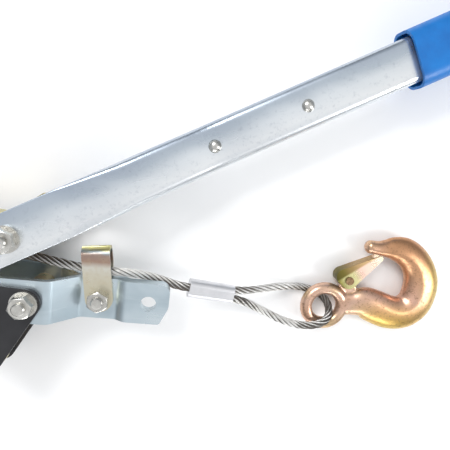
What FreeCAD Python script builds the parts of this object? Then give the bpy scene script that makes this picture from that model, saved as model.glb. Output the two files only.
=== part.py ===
"""Hand wire rope puller: a ratchet drum winch between two side plates, worked by a riveted handle.

Millimetres. The puller lies on its side: X runs along the frame towards its nose, Y towards the
handle, and Z up, square to the side plates. The origin is on the axis of the nose hole, in the
frame's middle plane.
"""
import FreeCAD, Part
import math
import os

V = FreeCAD.Vector
UP = V(0, 0, 1)

doc = FreeCAD.newDocument("wire_rope_puller")
sheet = doc.addObject("Spreadsheet::Sheet", "sizes")

SIZES = {
    # frame
    "plate_thick": 4, "plate_height": 29, "plate_gap": 32,
    "axle_x": -156, "front_bolt_x": -75, "clip_x": -33, "rear_bolt_x": -230,
    "bend_out_x": -62.7, "bend_in_x": -46, "joggle_start_x": -20.6, "joggle_end_x": -14.8,
    "bend_inner_r": 4, "nose_x": 14, "nose_hole_r": 5.4, "rear_margin": 14.5,
    # gussets
    "gusset_thick": 3, "lobe_r": 9.6, "axle_lobe_r": 14, "pawl_pivot_x": -105.5, "pawl_pivot_y": -55,
    # fasteners
    "bolt_r": 4, "bolt_hole_r": 4.2, "nut_flats": 13, "nut_height": 6.5, "head_height": 5.3,
    "washer_r": 8.5, "washer_thick": 1.6, "bolt_stickout": 2.2,
    "axle_r": 6, "axle_hole_r": 6.2, "axle_nut_flats": 18, "axle_nut_height": 8, "axle_head_height": 8,
    "running_clear": 0.06, "side_clear": 0.8, "moving_gap": 0.5,
    # drum
    "drum_r": 16, "gear_tip_r": 42, "gear_root_r": 36, "gear_thick": 4.8, "gear_teeth": 12,
    "gear_phase": -6, "rope_d": 6.2, "rope_layers": 3,
    # handle
    "handle_width": 29.8, "handle_sheet": 2.5, "handle_angle": 30.35, "box_half": 8,
    "fork_end_u": 126, "box_start_u": 218, "handle_end_u": 468, "edge_radius": 4.5,
    "drive_bolt_u": 82, "rivet_one_u": 218.5, "rivet_two_u": 283.6,
    "rivet_r": 2.5, "rivet_head_r": 4.2, "rivet_head_height": 2.6,
    "grip_start_u": 359, "grip_end_u": 476, "grip_wall": 4.2, "grip_mouth": 7,
    # rope guide clip
    "clip_width": 18.4, "clip_sheet": 2.2, "clip_top_y": 35.8, "clip_lean": 8,
    # ferrule
    "ferrule_width": 14, "ferrule_thick": 9.5,
    # hooks
    "eye_r": 14.5, "eye_wire_r": 4.7, "latch_sheet": 1.4, "latch_pin_r": 2.2,
    "bushing_clear": 0.4,
}
for row, (name, value) in enumerate(SIZES.items(), start=1):
    sheet.set("A%d" % row, name)
    sheet.set("B%d" % row, str(value))
    sheet.setAlias("B%d" % row, name)
doc.recompute()


def size(name):
    """A driving dimension, read from the sheet."""
    return float(sheet.get(name))


parts = []


def keep(obj, label):
    """Mark an object as a sub-part: its label is the name of its file."""
    obj.Label = label
    parts.append(obj)
    return obj


def feature(label, shape):
    """A sub-part whose shape is made by Part's own functions from the sheet's sizes."""
    obj = doc.addObject("Part::Feature", label)
    obj.Shape = shape
    return keep(obj, label)


def bind(obj, **expressions):
    for prop, expression in expressions.items():
        obj.setExpression(prop, expression)
    return obj


def cylinder(name, radius, height, x="0 mm", y="0 mm", z="0 mm"):
    """A cylinder along Z, its sizes and place bound to the sheet; z is its lower end."""
    obj = doc.addObject("Part::Cylinder", name)
    bind(obj, Radius=radius, Height=height)
    for axis, expression in zip("xyz", (x, y, z)):
        obj.setExpression("Placement.Base." + axis, expression)
    return obj


def hexagon(name, flats, height, x, y, z, turn=0):
    """A hexagonal prism along Z, measured across its flats."""
    obj = doc.addObject("Part::Prism", name)
    obj.Polygon = 6
    bind(obj, Circumradius="%s / 2 / cos(30 deg)" % flats, Height=height)
    obj.Placement = FreeCAD.Placement(V(), FreeCAD.Rotation(UP, turn))
    for axis, expression in zip("xyz", (x, y, z)):
        obj.setExpression("Placement.Base." + axis, expression)
    return obj


def group(name, *objects):
    """Separate solids that share one node."""
    obj = doc.addObject("Part::Compound", name)
    obj.Links = list(objects)
    return obj


def fuse(name, *objects):
    obj = doc.addObject("Part::MultiFuse", name)
    obj.Shapes = list(objects)
    return obj


def cut(name, base, tool):
    obj = doc.addObject("Part::Cut", name)
    obj.Base = base
    obj.Tool = tool
    return obj


def tube(name, outer, inner, height, x="0 mm", y="0 mm", z="0 mm"):
    return cut(name, cylinder(name + "_outer", outer, height, x, y, z),
               cylinder(name + "_bore", inner, height, x, y, z))


# Shapes that the features share -------------------------------------------------------------

def rod(radius, low, high, x, y):
    """A plain round solid along Z from low to high."""
    return Part.makeCylinder(radius, high - low, V(x, y, low))


def polygon_prism(points, low, high):
    """A straight-sided outline in the XY plane, given its thickness."""
    wire = Part.makePolygon([V(x, y, low) for x, y in points] + [V(points[0][0], points[0][1], low)])
    return Part.Face(wire).extrude(V(0, 0, high - low))


def lobed_prism(circles, low, high):
    """The outline that a taut belt makes round circles given anticlockwise as (x, y, radius)."""
    shape = None
    count = len(circles)
    hub = []
    for i in range(count):
        x0, y0, r0 = circles[i]
        x1, y1, r1 = circles[(i + 1) % count]
        along = V(x1 - x0, y1 - y0, 0)
        gap = along.Length
        along.normalize()
        across = V(along.y, -along.x, 0)
        sine = (r0 - r1) / gap
        normal = along * sine + across * math.sqrt(1 - sine * sine)
        hub.append((x0 + normal.x * r0, y0 + normal.y * r0))
        hub.append((x1 + normal.x * r1, y1 + normal.y * r1))
        disc = rod(r0, low, high, x0, y0)
        shape = disc if shape is None else shape.fuse(disc)
    return shape.fuse(polygon_prism(hub, low, high)).removeSplitter()


def bent_strip(path, thick, low, high, bend_inner):
    """Sheet bent to a path of (x, z) points on its middle line, from y = low to y = high."""
    sides = []
    for side in (0.5, -0.5):
        line = []
        for i, (x, z) in enumerate(path):
            before = V(x - path[i - 1][0], z - path[i - 1][1], 0) if i else None
            after = V(path[i + 1][0] - x, path[i + 1][1] - z, 0) if i + 1 < len(path) else None
            first = (before or after).normalize()
            second = (after or before).normalize()
            normal = V(-first.y - second.y, first.x + second.x, 0).normalize()
            reach = side * thick / normal.dot(V(-first.y, first.x, 0))
            line.append(V(x + normal.x * reach, low, z + normal.y * reach))
        sides.append(line)
    outline = sides[0] + sides[1][::-1]
    strip = Part.Face(Part.makePolygon(outline + [outline[0]])).extrude(V(0, high - low, 0))
    for radius, line in ((bend_inner + thick, 0), (bend_inner, 1)):
        edges = []
        for i in range(1, len(path) - 1):
            ax, az = path[i][0] - path[i - 1][0], path[i][1] - path[i - 1][1]
            bx, bz = path[i + 1][0] - path[i][0], path[i + 1][1] - path[i][1]
            left = ax * bz - az * bx > 0
            corner = sides[(1 if left else 0) if line == 0 else (0 if left else 1)][i]
            for edge in strip.Edges:
                ends = [v.Point for v in edge.Vertexes]
                if all(abs(p.x - corner.x) + abs(p.z - corner.z) < 1e-4 for p in ends):
                    edges.append(edge)
        strip = strip.makeFillet(radius, edges)
    return strip


def coil_spring(radius, wire, turns, first_leg, last_leg):
    """A torsion spring round the Z axis: a helix whose two ends run straight off it."""
    pitch = wire * 1.08
    helix = Part.makeHelix(pitch, pitch * turns, radius)
    lead = pitch / (2 * math.pi * radius)
    end = 2 * math.pi * turns
    into = V(0, 1, lead).normalize()
    out = V(-math.sin(end), math.cos(end), lead).normalize()
    start = V(radius, 0, 0)
    finish = V(radius * math.cos(end), radius * math.sin(end), pitch * turns)
    edges = [Part.LineSegment(start - into * first_leg, start).toShape()] + helix.Edges
    edges.append(Part.LineSegment(finish, finish + out * last_leg).toShape())
    path = Part.Wire(edges)
    ring = Part.Wire(Part.makeCircle(wire / 2, start - into * first_leg, into))
    return path.makePipeShell([ring], True, True)


def placed(shape, x, y, z, angle=0):
    """The shape turned about its own Z and then moved to its station."""
    moved = shape.copy()
    moved.rotate(V(), UP, angle)
    moved.translate(V(x, y, z))
    return moved


def about(shape, x, y, angle):
    """The shape turned about an upright line through (x, y)."""
    turned = shape.copy()
    turned.rotate(V(x, y, 0), UP, angle)
    return turned


AXLE = V(size("axle_x"), 0, 0)
ANGLE = size("handle_angle")


def polar(radius, degrees, centre=AXLE):
    a = math.radians(degrees)
    return (centre.x + radius * math.cos(a), centre.y + radius * math.sin(a))


def on_handle(shape):
    """Move a shape from the handle's own lines, u along it from the axle, to its rest angle."""
    placed = shape.copy()
    placed.translate(AXLE)
    placed.rotate(AXLE, UP, ANGLE)
    return placed


def handle_point(u, v):
    a = math.radians(ANGLE)
    return (AXLE.x + u * math.cos(a) - v * math.sin(a), u * math.sin(a) + v * math.cos(a))


# Levels from the middle plane outwards ------------------------------------------------------

half_gap = size("plate_gap") / 2
plate_face = half_gap + size("plate_thick")
gusset_face = plate_face + size("gusset_thick")
arm_inner = gusset_face + size("side_clear")
arm_face = arm_inner + size("handle_sheet")
gear_face = half_gap - size("side_clear")
winding_half = gear_face - size("gear_thick")
clip_face = size("plate_thick") + size("clip_sheet")
PLATE = "(sizes.plate_gap / 2 + sizes.plate_thick) * 1 mm"
GUSSET = "(sizes.plate_gap / 2 + sizes.plate_thick + sizes.gusset_thick) * 1 mm"
ARM = ("(sizes.plate_gap / 2 + sizes.plate_thick + sizes.gusset_thick + sizes.side_clear"
       " + sizes.handle_sheet) * 1 mm")
CLIP = "(sizes.plate_thick + sizes.clip_sheet) * 1 mm"
GEAR = "(sizes.plate_gap / 2 - sizes.side_clear) * 1 mm"


# Side plates: one bent strip each, closing to the nose, where both step towards the top face ---

def side_plate(side):
    thick = size("plate_thick")
    wide = side * (half_gap + thick / 2)
    shut = side * thick / 2
    rear = size("rear_bolt_x") - size("rear_margin")
    nose = size("nose_x")
    half = size("plate_height") / 2
    run = size("joggle_end_x") - size("joggle_start_x")
    nest = side * thick / 2 * math.tan(math.atan2(thick, run) / 2)
    path = [(rear, wide), (size("bend_out_x"), wide), (size("bend_in_x"), shut),
            (size("joggle_start_x") - nest, shut), (size("joggle_end_x") - nest, shut + thick),
            (nose, shut + thick)]
    strip = bent_strip(path, thick, -half, half, size("bend_inner_r"))
    reach = plate_face + 5
    outline = polygon_prism([(rear, -half), (nose - 5.5, -half), (nose, -2), (nose, half), (rear, half)],
                            -reach, reach)
    corners = {(rear, -half): size("rear_margin") - 0.01, (rear, half): size("rear_margin") - 0.01,
               (nose - 5.5, -half): 2.5, (nose, -2): 9, (nose, half): 6.5}
    for (x, y), radius in corners.items():
        edge = [e for e in outline.Edges
                if all(abs(v.X - x) + abs(v.Y - y) < 1e-4 for v in e.Vertexes)]
        outline = outline.makeFillet(radius, edge)
    plate = strip.common(outline)
    holes = [(size("axle_x"), size("axle_hole_r")), (size("front_bolt_x"), size("bolt_hole_r")),
             (size("clip_x"), size("bolt_hole_r")), (size("rear_bolt_x"), size("bolt_hole_r")),
             (0, size("nose_hole_r"))]
    for x, radius in holes:
        plate = plate.cut(rod(radius, -reach, reach, x, 0))
    return plate


feature("side_plate_near", side_plate(1))
feature("side_plate_far", side_plate(-1))


# Gussets: black plates outside the frame that carry the holding pawl's bolt ------------------

def gusset(side):
    low, high = sorted((side * plate_face, side * gusset_face))
    circles = [(size("pawl_pivot_x"), size("pawl_pivot_y"), size("lobe_r")),
               (size("front_bolt_x"), 0, size("lobe_r")), (size("axle_x"), 0, size("axle_lobe_r"))]
    plate = lobed_prism(circles, low, high)
    for x, y, radius in ((circles[0][0], circles[0][1], size("bolt_hole_r")),
                         (circles[1][0], 0, size("bolt_hole_r")), (circles[2][0], 0, size("axle_hole_r"))):
        plate = plate.cut(rod(radius, low - 1, high + 1, x, y))
    return plate


feature("gusset_near", gusset(1))
feature("gusset_far", gusset(-1))


# Bolts, nuts and washers ----------------------------------------------------------------------

def bolt(name, face, x, y, radius, flats, head, top, turn=0):
    """A hex bolt with its head below the far face and its plain end at top."""
    shank = cylinder(name + "_shank", radius, "(%s) + (%s)" % (top, face), x, y, "-(%s)" % face)
    cap = hexagon(name + "_head", flats, head, x, y, "-(%s) - %s" % (face, head), turn)
    rounded = doc.addObject("Part::Chamfer", name + "_end")
    rounded.Base = fuse(name + "_blank", shank, cap)
    doc.recompute()
    ring = [i for i, e in enumerate(rounded.Base.Shape.Edges, start=1)
            if e.Curve.TypeId == "Part::GeomCircle" and e.Closed
            and abs(e.Curve.Center.z - rounded.Base.Shape.BoundBox.ZMax) < 1e-6]
    rounded.Edges = [(i, 0.7, 0.7) for i in ring]
    return rounded


def nut(name, x, y, z, bore="sizes.bolt_r * 1 mm", flats="sizes.nut_flats * 1 mm",
        height="sizes.nut_height * 1 mm", turn=0):
    """A hex nut whose corners are turned off to a cone on its outer face."""
    body = hexagon(name + "_hex", flats, height, x, y, z, turn)
    cone = doc.addObject("Part::Cone", name + "_cone")
    bind(cone, Radius1="%s * 0.5 + (%s) * 2" % (flats, height), Radius2="%s * 0.48" % flats, Height=height)
    for axis, expression in zip("xyz", (x, y, z)):
        cone.setExpression("Placement.Base." + axis, expression)
    common = doc.addObject("Part::MultiCommon", name + "_turned")
    common.Shapes = [body, cone]
    return cut(name, common, cylinder(name + "_bore", bore, height, x, y, z))


BOLT_R = "sizes.bolt_r * 1 mm"
FLATS = "sizes.nut_flats * 1 mm"
HEAD = "sizes.head_height * 1 mm"
WASHER = "sizes.washer_thick * 1 mm"
ABOVE = "(sizes.washer_thick + sizes.nut_height + sizes.bolt_stickout) * 1 mm"
FRONT_X, REAR_X, CLIP_X = ("sizes.%s * 1 mm" % n for n in ("front_bolt_x", "rear_bolt_x", "clip_x"))
PIVOT_X, PIVOT_Y = "sizes.pawl_pivot_x * 1 mm", "sizes.pawl_pivot_y * 1 mm"
AXLE_X = "sizes.axle_x * 1 mm"
STATIONS = {"front": (FRONT_X, "0 mm", GUSSET, 12), "pivot": (PIVOT_X, PIVOT_Y, GUSSET, 25),
            "rear": (REAR_X, "0 mm", PLATE, 5)}

bolts, nuts, washers = [], [], []
for station, (x, y, face, turn) in STATIONS.items():
    bolts.append(bolt(station + "_bolt", face, x, y, BOLT_R, FLATS, HEAD, "%s + %s" % (face, ABOVE), turn))
    washers.append(tube(station + "_washer", "sizes.washer_r * 1 mm", BOLT_R, WASHER, x, y, face))
    nuts.append(nut(station + "_nut", x, y, "%s + %s" % (face, WASHER), turn=turn))
keep(group("frame_bolt_group", *bolts), "frame_bolts")
keep(group("frame_nut_group", *nuts), "frame_nuts")
keep(group("frame_washer_group", *washers), "frame_washers")
clip_top = "%s + (sizes.nut_height + sizes.bolt_stickout) * 1 mm" % CLIP
keep(bolt("clip_bolt", CLIP, CLIP_X, "0 mm", BOLT_R, FLATS, HEAD, clip_top, 30), "clip_bolt")
keep(nut("clip_nut", CLIP_X, "0 mm", CLIP, turn=30), "clip_nut")

AXLE_R = "sizes.axle_r * 1 mm"
axle_top = "%s + (sizes.washer_thick + sizes.axle_nut_height + sizes.bolt_stickout) * 1 mm" % ARM
keep(bolt("axle_pin", ARM, AXLE_X, "0 mm", AXLE_R, "sizes.axle_nut_flats * 1 mm",
          "sizes.axle_head_height * 1 mm", axle_top, 8), "axle_bolt")
keep(tube("axle_ring", "(sizes.axle_r + 6) * 1 mm", AXLE_R, WASHER, AXLE_X, "0 mm", ARM), "axle_washer")
keep(nut("axle_lock", AXLE_X, "0 mm", "%s + %s" % (ARM, WASHER), AXLE_R, "sizes.axle_nut_flats * 1 mm",
         "sizes.axle_nut_height * 1 mm", 8), "axle_nut")


# Spacers between the plates -------------------------------------------------------------------

GAP = "sizes.plate_gap * 1 mm"
keep(tube("front_tube", "(sizes.bolt_r + 3.5) * 1 mm", BOLT_R, GAP, FRONT_X, "0 mm",
          "-sizes.plate_gap / 2 * 1 mm"), "front_spacer")
keep(tube("rear_tube", "(sizes.eye_r - sizes.eye_wire_r - sizes.bushing_clear) * 1 mm", BOLT_R, GAP,
          REAR_X, "0 mm", "-sizes.plate_gap / 2 * 1 mm"), "rear_bushing")
PAWL_FACE = "(sizes.plate_gap / 2 - sizes.side_clear + sizes.moving_gap) * 1 mm"
spacer_length = "%s - %s" % (PLATE, PAWL_FACE)
keep(group("pivot_tubes",
           tube("pivot_tube_near", "(sizes.bolt_r + 2) * 1 mm", BOLT_R, spacer_length, PIVOT_X, PIVOT_Y,
                PAWL_FACE),
           tube("pivot_tube_far", "(sizes.bolt_r + 2) * 1 mm", BOLT_R, spacer_length, PIVOT_X, PIVOT_Y,
                "-(%s)" % PLATE)), "hold_pawl_spacers")


# Drum: a barrel with a ratchet gear pressed on each end ---------------------------------------

drum_body = doc.addObject("PartDesign::Body", "drum_body")
profile = drum_body.newObject("Sketcher::SketchObject", "drum_profile")
plane = [f for f in drum_body.Origin.OriginFeatures if f.Role == "XZ_Plane"][0]
profile.AttachmentSupport = [(plane, "")]
profile.MapMode = "FlatFace"
spigot_half = half_gap - size("side_clear") / 2
spigot_r = size("drum_r") - 6
bore_r = size("axle_r") + size("running_clear")
steps = [(bore_r, -spigot_half), (spigot_r, -spigot_half), (spigot_r, -winding_half),
         (size("drum_r"), -winding_half), (size("drum_r"), winding_half), (spigot_r, winding_half),
         (spigot_r, spigot_half), (bore_r, spigot_half)]
for i, start in enumerate(steps):
    end = steps[(i + 1) % len(steps)]
    profile.addGeometry(Part.LineSegment(V(start[0], start[1], 0), V(end[0], end[1], 0)), False)
turned = drum_body.newObject("PartDesign::Revolution", "drum_turned")
turned.Profile = profile
turned.ReferenceAxis = (profile, ["V_Axis"])
turned.Angle = 360
drum_body.Tip = turned
drum_body.setExpression("Placement.Base.x", AXLE_X)
keep(cut("drum_drilled", drum_body,
         bind(doc.addObject("Part::Cylinder", "screw_hole"), Radius="3 mm",
              Height="sizes.drum_r * 1 mm")), "drum_barrel")
screw_hole = doc.getObject("screw_hole")
screw_hole.Placement = FreeCAD.Placement(V(size("axle_x"), -size("drum_r"), 0),
                                         FreeCAD.Rotation(V(1, 0, 0), -90))
screw_hole.setExpression("Placement.Base.x", AXLE_X)
screw_hole.setExpression("Height", "(sizes.drum_r - sizes.axle_r - 1) * 1 mm")


def ratchet_gear(low):
    """A ratchet wheel: each tooth has one radial face and one long sloped back."""
    count = int(size("gear_teeth"))
    pitch = 360 / count
    tip, root = size("gear_tip_r"), size("gear_root_r")
    outline = []
    for k in range(count):
        face = size("gear_phase") + k * pitch
        outline.append(polar(root, face))
        outline.append(polar(tip, face))
        outline.append(polar(tip, face + pitch * 0.16))
        outline.append(polar(root + 0.6, face + pitch * 0.84))
    gear = polygon_prism(outline, low, low + size("gear_thick"))
    teeth_clear = rod(tip - 0.35, low - 1, low + size("gear_thick") + 1, AXLE.x, 0)
    gear = gear.common(teeth_clear)
    for k in range(4):
        x, y = polar((size("drum_r") + root) / 2, 45 + 90 * k)
        gear = gear.cut(rod(4, low - 1, low + size("gear_thick") + 1, x, y))
    return gear.cut(rod(spigot_r, low - 1, low + size("gear_thick") + 1, AXLE.x, 0))


feature("ratchet_gear_near", ratchet_gear(winding_half))
feature("ratchet_gear_far", ratchet_gear(-gear_face))
winding_r = size("drum_r") + size("rope_layers") * size("rope_d")
feature("rope_winding", rod(winding_r, -winding_half, winding_half, AXLE.x, 0).cut(
    rod(size("drum_r"), -winding_half, winding_half, AXLE.x, 0)))
screw_top = 0.6 - size("drum_r")
screw = Part.makeCylinder(3, size("drum_r") - size("axle_r") - 2, V(AXLE.x, screw_top, 0), V(0, 1, 0))
socket = Part.makeCylinder(1.5, 3, V(AXLE.x, screw_top, 0), V(0, 1, 0))
feature("rope_anchor_screw", screw.cut(socket))


# Pawls ----------------------------------------------------------------------------------------

PAWL_X, PAWL_Y = size("pawl_pivot_x"), size("pawl_pivot_y")
pawl_half = gear_face
boss_r = size("bolt_r") + 4


def pawl(x, y, tip_angle, relief, foot):
    """A wide pawl: a boss on its bolt and an arm whose tip, relieved below, meets a tooth's face."""
    root, tip = size("gear_root_r"), size("gear_tip_r")
    arm = polygon_prism([polar(root + 0.7, tip_angle - relief), polar(tip + 1.8, tip_angle - 0.7)] + foot,
                        -pawl_half, pawl_half)
    shape = arm.fuse(rod(boss_r, -pawl_half, pawl_half, x, y)).removeSplitter()
    return shape


bore = size("bolt_r") + size("running_clear")
hold = pawl(PAWL_X, PAWL_Y, size("gear_phase"), 3.7,
            [(PAWL_X + 7.5, PAWL_Y + 2), (PAWL_X - 7.5, PAWL_Y - 1.5)])
hold = hold.cut(rod(winding_r + 0.8, -winding_half + 0.3, winding_half - 0.3, AXLE.x, 0))
feature("hold_pawl", hold.cut(rod(bore, -pawl_half - 1, pawl_half + 1, PAWL_X, PAWL_Y)))

DRIVE_U = size("drive_bolt_u")
drive_x, drive_y = handle_point(DRIVE_U, 0)
lift = -9
drive = pawl(drive_x, drive_y, size("gear_phase") + 90, 2.2,
             [(drive_x + 1, drive_y + 7.8), (drive_x - 2, drive_y - 5.2)])
drive = about(drive, drive_x, drive_y, lift)
lever = on_handle(polygon_prism([(78, 4), (88, -4), (104, 7), (111.5, 14.6), (110.5, 15.8), (90, 13.4), (78, 9.5)],
                                -pawl_half, pawl_half))
lever_slot = on_handle(polygon_prism([(91, -8), (114, -8), (114, 20), (91, 20)],
                                     -pawl_half + 3, pawl_half - 3))
drive = drive.fuse(lever.cut(lever_slot)).removeSplitter()
feature("drive_pawl", drive.cut(rod(bore, -pawl_half - 1, pawl_half + 1, drive_x, drive_y)))

SPRING_R = size("bolt_r") + 3.2
feature("hold_pawl_spring", placed(coil_spring(SPRING_R, 1.0, 1.458, 16, 37), PAWL_X, PAWL_Y,
                                   pawl_half + 1.1, 195))
feature("drive_pawl_spring", placed(coil_spring(SPRING_R, 1.2, 3.103, 16, 14), drive_x, drive_y,
                                    pawl_half + 1.4, -96.4))


# Handle: two pressed halves, flat arms round the axle that close to a riveted box --------------

def rounded_box(u0, u1, half_v, half_z, radius):
    face = Part.makeBox(u1 - u0, 2 * half_v, 2 * half_z, V(u0, -half_v, -half_z))
    return face.makeFillet(radius, [e for e in face.Edges
                                    if abs(e.Vertexes[0].X - e.Vertexes[-1].X) > 1])


def came_down(u, bend, reach):
    """How far a web of unit slope has come down at u, after a soft bend of this reach."""
    past = u - bend
    if past <= -reach:
        return 0
    return past if past >= reach else (past + reach) ** 2 / (4 * reach)


def channel(u, top, turn, inset):
    """The outline of one half across the handle at u: a web, two rounded edges, two flanges."""
    half = size("handle_width") / 2 - inset
    top = top - inset
    turn = max(turn - inset, 0.1)
    k = turn * (1 - math.sqrt(0.5))
    low = -1 if inset else 0
    at = [V(u, -half, low), V(u, -half, top - turn), V(u, -half + k, top - k), V(u, -half + turn, top),
          V(u, half - turn, top), V(u, half - k, top - k), V(u, half, top - turn), V(u, half, low)]
    return Part.Wire([Part.LineSegment(at[0], at[1]).toShape(), Part.Arc(at[1], at[2], at[3]).toShape(),
                      Part.LineSegment(at[3], at[4]).toShape(), Part.Arc(at[4], at[5], at[6]).toShape(),
                      Part.LineSegment(at[6], at[7]).toShape(), Part.LineSegment(at[7], at[0]).toShape()])


def handle_half(side):
    half, box, sheet_t = size("handle_width") / 2, size("box_half"), size("handle_sheet")
    u0, u1, u2 = size("fork_end_u"), size("box_start_u"), size("handle_end_u")
    soft, square, run_out = 8, 0.6, 34
    slope = (arm_face - box) / (u1 - u0)
    steps = [u0 - soft, u0 - soft / 2, u0, u0 + soft / 2, u0 + soft, u0 + 16, u0 + 25, u0 + run_out,
             u1 - soft, u1 - soft / 2, u1, u1 + soft / 2, u1 + soft, u2]
    outer, inner = [], []
    for u in steps:
        top = arm_face - slope * (came_down(u, u0, soft) - came_down(u, u1, soft))
        grown = min(1, (u - u0 + soft) / (run_out + soft))
        turn = square + (size("edge_radius") - square) * grown
        outer.append(channel(u, top, turn, 0))
        inner.append(channel(u, top, turn, sheet_t))
    shape = Part.makeLoft(outer, True, True).cut(Part.makeLoft(inner, True, True))
    start = u0 - soft
    hollow = Part.Face(Part.makePolygon([
        V(start - 1, -2 * half, arm_inner), V(start, -2 * half, arm_inner), V(u0 + run_out, -2 * half, -1),
        V(start - 1, -2 * half, -1), V(start - 1, -2 * half, arm_inner)]))
    shape = shape.cut(hollow.extrude(V(0, 4 * half, 0)))
    arm = rounded_box(0, start, half, arm_face, square)
    arm = arm.common(polygon_prism([(0, -half), (start, -half), (start, half), (0, half)],
                                   arm_inner, arm_face))
    shape = shape.fuse([arm, rod(half, arm_inner, arm_face, 0, 0)]).removeSplitter()
    shape = shape.cut(rod(size("axle_r") + size("running_clear"), 0, arm_face + 1, 0, 0))
    shape = shape.cut(rod(size("bolt_r"), 0, arm_face + 1, DRIVE_U, 0))
    for u in (size("rivet_one_u"), size("rivet_two_u")):
        shape = shape.cut(rod(size("rivet_r"), -1, arm_face, u, 0))
        shape = shape.cut(rod(size("rivet_head_r") + 0.2, box, arm_face, u, 0))
    if side < 0:
        shape = shape.mirror(V(), UP)
    return on_handle(shape)


feature("handle_half_near", handle_half(1))
feature("handle_half_far", handle_half(-1))


def rivet(u):
    """A rivet with a low dome on each face of the handle."""
    box, head_r, rise = size("box_half"), size("rivet_head_r"), size("rivet_head_height")
    ball = (head_r * head_r + rise * rise) / (2 * rise)
    shape = rod(size("rivet_r"), -box, box, u, 0)
    for side in (1, -1):
        dome = Part.makeSphere(ball, V(u, 0, side * (box + rise - ball)))
        low, high = sorted((side * box, side * (box + rise)))
        shape = shape.fuse(dome.common(rod(head_r + 1, low, high, u, 0)))
    return on_handle(shape)


feature("handle_rivets", Part.makeCompound([rivet(size("rivet_one_u")), rivet(size("rivet_two_u"))]))

DRIVE_X = "%f mm" % drive_x
DRIVE_Y = "%f mm" % drive_y
keep(bolt("drive_bolt", ARM, DRIVE_X, DRIVE_Y, BOLT_R, FLATS, HEAD, "%s + %s" % (ARM, ABOVE), 40),
     "drive_pawl_bolt")
keep(tube("drive_washer", "sizes.washer_r * 1 mm", BOLT_R, WASHER, DRIVE_X, DRIVE_Y, ARM),
     "drive_pawl_washer")
keep(nut("drive_nut", DRIVE_X, DRIVE_Y, "%s + %s" % (ARM, WASHER), turn=40), "drive_pawl_nut")
ARM_IN = "%s - sizes.handle_sheet * 1 mm" % ARM
keep(group("drive_tubes",
           tube("drive_tube_near", "(sizes.bolt_r + 2) * 1 mm", BOLT_R, "%s - %s" % (ARM_IN, PAWL_FACE),
                DRIVE_X, DRIVE_Y, PAWL_FACE),
           tube("drive_tube_far", "(sizes.bolt_r + 2) * 1 mm", BOLT_R, "%s - %s" % (ARM_IN, PAWL_FACE),
                DRIVE_X, DRIVE_Y, "-(%s)" % ARM_IN)), "drive_pawl_spacers")


def grip():
    """A rubber sleeve with a closed end and a mouth that stands off the metal."""
    wall = size("grip_wall")
    half_v, half_z = size("handle_width") / 2, size("box_half")
    u0, u1 = size("grip_start_u"), size("grip_end_u")
    sleeve = rounded_box(u0, u1, half_v + wall, half_z + wall, size("edge_radius") + wall)
    sleeve = sleeve.cut(rounded_box(u0 - 1, size("handle_end_u"), half_v, half_z, size("edge_radius")))
    mouth = rounded_box(u0 - 1, u0 + size("grip_mouth"), half_v + wall * 0.55, half_z + wall * 0.55,
                        size("edge_radius") + wall * 0.55)
    return on_handle(sleeve.cut(mouth))


feature("grip", grip())


# Rope guide clip: a strap bent over the closed side plates ------------------------------------

def rope_clip():
    width, sheet_t, top = size("clip_width"), size("clip_sheet"), size("clip_top_y")
    inner = size("plate_thick")
    centre = top - clip_face
    x = size("clip_x")
    legs = None
    for side in (1, -1):
        low, high = sorted((side * inner, side * clip_face))
        leg = polygon_prism([(x - width / 2, 0), (x + width / 2, 0), (x + width / 2, centre),
                             (x - width / 2, centre)], low, high).fuse(rod(width / 2, low, high, x, 0))
        legs = leg if legs is None else legs.fuse(leg)
    along = V(1, 0, 0)
    ring = Part.makeCylinder(clip_face, width, V(x - width / 2, centre, 0), along)
    ring = ring.cut(Part.makeCylinder(inner, width, V(x - width / 2, centre, 0), along))
    ring = ring.common(Part.makeBox(width, 2 * clip_face, 2 * clip_face,
                                    V(x - width / 2, centre, -clip_face)))
    strap = legs.fuse(ring).removeSplitter().cut(rod(size("bolt_hole_r"), -20, 20, x, 0))
    return about(strap, x, 0, size("clip_lean"))


feature("rope_clip", rope_clip())


# Rope: the route of its middle line, its tubes, and the pressed ferrule ------------------------

def rope_tube(points):
    """A round tube along straight runs joined by tangent arcs; prints each arc's radius."""
    points = [V(*p) for p in points]
    edges, here, radii = [], points[0], []
    for i in range(1, len(points) - 1):
        a, b, c = points[i - 1:i + 2]
        into, out = (b - a), (c - b)
        run = min(into.Length, out.Length)
        into.normalize()
        out.normalize()
        turn = into.getAngle(out)
        radius = 0.45 * run / math.tan(turn / 2)
        radii.append((round(radius, 1), round(math.degrees(turn), 1)))
        start, end = b - into * 0.45 * run, b + out * 0.45 * run
        bisector = (out - into).normalize()
        middle = b + bisector * (radius / math.cos(turn / 2) - radius)
        edges.append(Part.LineSegment(here, start).toShape())
        edges.append(Part.Arc(start, middle, end).toShape())
        here = end
    edges.append(Part.LineSegment(here, points[-1]).toShape())
    path = Part.Wire(edges)
    print("rope radii and turns", radii, "length", round(path.Length, 1))
    radius = size("rope_d") / 2
    section = Part.Wire(Part.makeCircle(radius, points[0], points[1] - points[0]))
    tube_shape = path.makePipeShell([section], True, True)
    plain = math.pi * radius * radius * path.Length
    print("rope volume against section times length", round(tube_shape.Volume / plain, 4))
    return tube_shape


FERRULE_START = V(27, 8.6, -8)
FERRULE_END = V(60.2, 4.6, -12.6)
axis = (FERRULE_END - FERRULE_START).normalize()
beside = UP.cross(axis).normalize()
leg_offset = size("rope_d") / 2 + 0.15
upper_start = FERRULE_END + beside * leg_offset
lower_end = FERRULE_END - beside * leg_offset

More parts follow.
